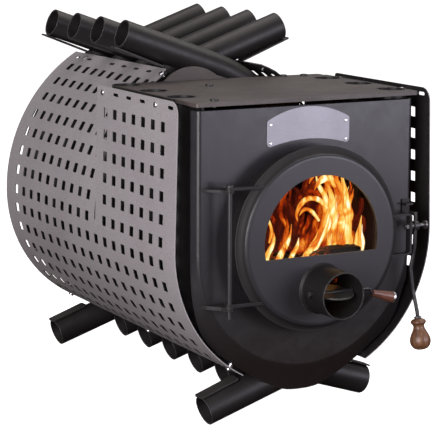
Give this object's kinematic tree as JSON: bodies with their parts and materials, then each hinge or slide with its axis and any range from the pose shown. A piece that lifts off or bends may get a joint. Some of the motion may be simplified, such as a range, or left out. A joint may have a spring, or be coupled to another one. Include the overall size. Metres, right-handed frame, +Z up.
{
  "type": "wood stove",
  "caption": "Barrel-shaped warm-air wood stove of bent crossing tubes with a flat cook plate, round glazed door with latch and air damper, and perforated side shields.",
  "frame": {"origin": "centre of the bounding box in plan, on the floor under the foot tubes", "axes": "+X to the viewer's right facing the door, -Y to the front, +Z up"},
  "size_m": [0.579, 1.088, 0.765],
  "materials": {
    "tube_paint": "satin heat-resistant paint, almost black",
    "body_paint": "satin heat-resistant paint, almost black",
    "front_paint": "satin heat-resistant paint, dark blue-grey",
    "plate_steel": "satin brown-grey heat-resistant paint on thick plate",
    "shield_paint": "fine-textured warm grey coating on sheet steel",
    "glass_rope": "braided glass-fibre rope and tape",
    "window_glass": "clear heat-resistant ceramic glass",
    "turned_wood": "turned beech, lightly varnished",
    "nameplate_metal": "satin plate, left bare",
    "damper_steel": "heat-tinted mild steel",
    "zinc": "bright zinc-plated steel"
  },
  "bodies": {
    "stove": {"baffle_plate": "body_paint", "closing_sheet": "plate_steel", "cook_plate": "plate_steel", "door_collar": "front_paint", "face_nib": "front_paint", "firebox_webs_left": "body_paint", "firebox_webs_right": "body_paint", "flue_outlet": "body_paint", "front_shell": "front_paint", "hinge_lugs_stove": "front_paint", "hinge_pin": "front_paint", "latch_catch": "front_paint", "left_shield": "shield_paint", "left_shield_bars": "body_paint", "left_shield_bolts": "zinc", "left_shield_bushes": "zinc", "left_tube_1": "tube_paint", "left_tube_2": "tube_paint", "left_tube_3": "tube_paint", "left_tube_4": "tube_paint", "left_tube_5": "tube_paint", "left_tube_6": "tube_paint", "left_tube_7": "tube_paint", "lower_straps": "body_paint", "nameplate": "nameplate_metal", "nameplate_rivets": "zinc", "plate_bolts": "zinc", "rear_plate": "body_paint", "right_shield": "shield_paint", "right_shield_bars": "body_paint", "right_shield_bolts": "zinc", "right_shield_bushes": "zinc", "right_tube_1": "tube_paint", "right_tube_2": "tube_paint", "right_tube_3": "tube_paint", "right_tube_4": "tube_paint", "right_tube_5": "tube_paint", "right_tube_6": "tube_paint", "right_tube_7": "tube_paint", "upper_straps": "body_paint"},
    "door": {"door_pan": "front_paint", "door_seal": "glass_rope", "door_glass": "window_glass", "glass_gasket": "glass_rope", "glass_frame": "zinc", "glass_clips": "zinc", "glass_screws": "zinc", "seal_channel": "front_paint", "air_spigot": "front_paint", "hinge_lugs_door": "front_paint", "latch_bracket": "front_paint", "latch_bolt": "zinc"},
    "damper": {"damper_disc": "damper_steel", "damper_axle": "damper_steel", "damper_handle": "turned_wood", "damper_handle_cap": "zinc", "damper_axle_nut": "zinc"},
    "latch": {"latch_lever": "front_paint", "latch_knob": "turned_wood", "latch_collar": "zinc"}
  },
  "joints": [
    {"name": "door_swing", "type": "hinge", "parent": "stove", "child": "door", "pos_m": [-0.192, -0.444, 0.36634], "axis": [0, 0, -1], "range_deg": [0, 120]},
    {"name": "latch_turn", "type": "hinge", "parent": "door", "child": "latch", "pos_m": [0.229, -0.442, 0.37333], "axis": [1, 0, 0], "range_deg": [-95, 0]},
    {"name": "damper_turn", "type": "hinge", "parent": "door", "child": "damper", "pos_m": [0, -0.503, 0.27274], "axis": [1, 0, 0], "range_deg": [-8, 82]}
  ]
}
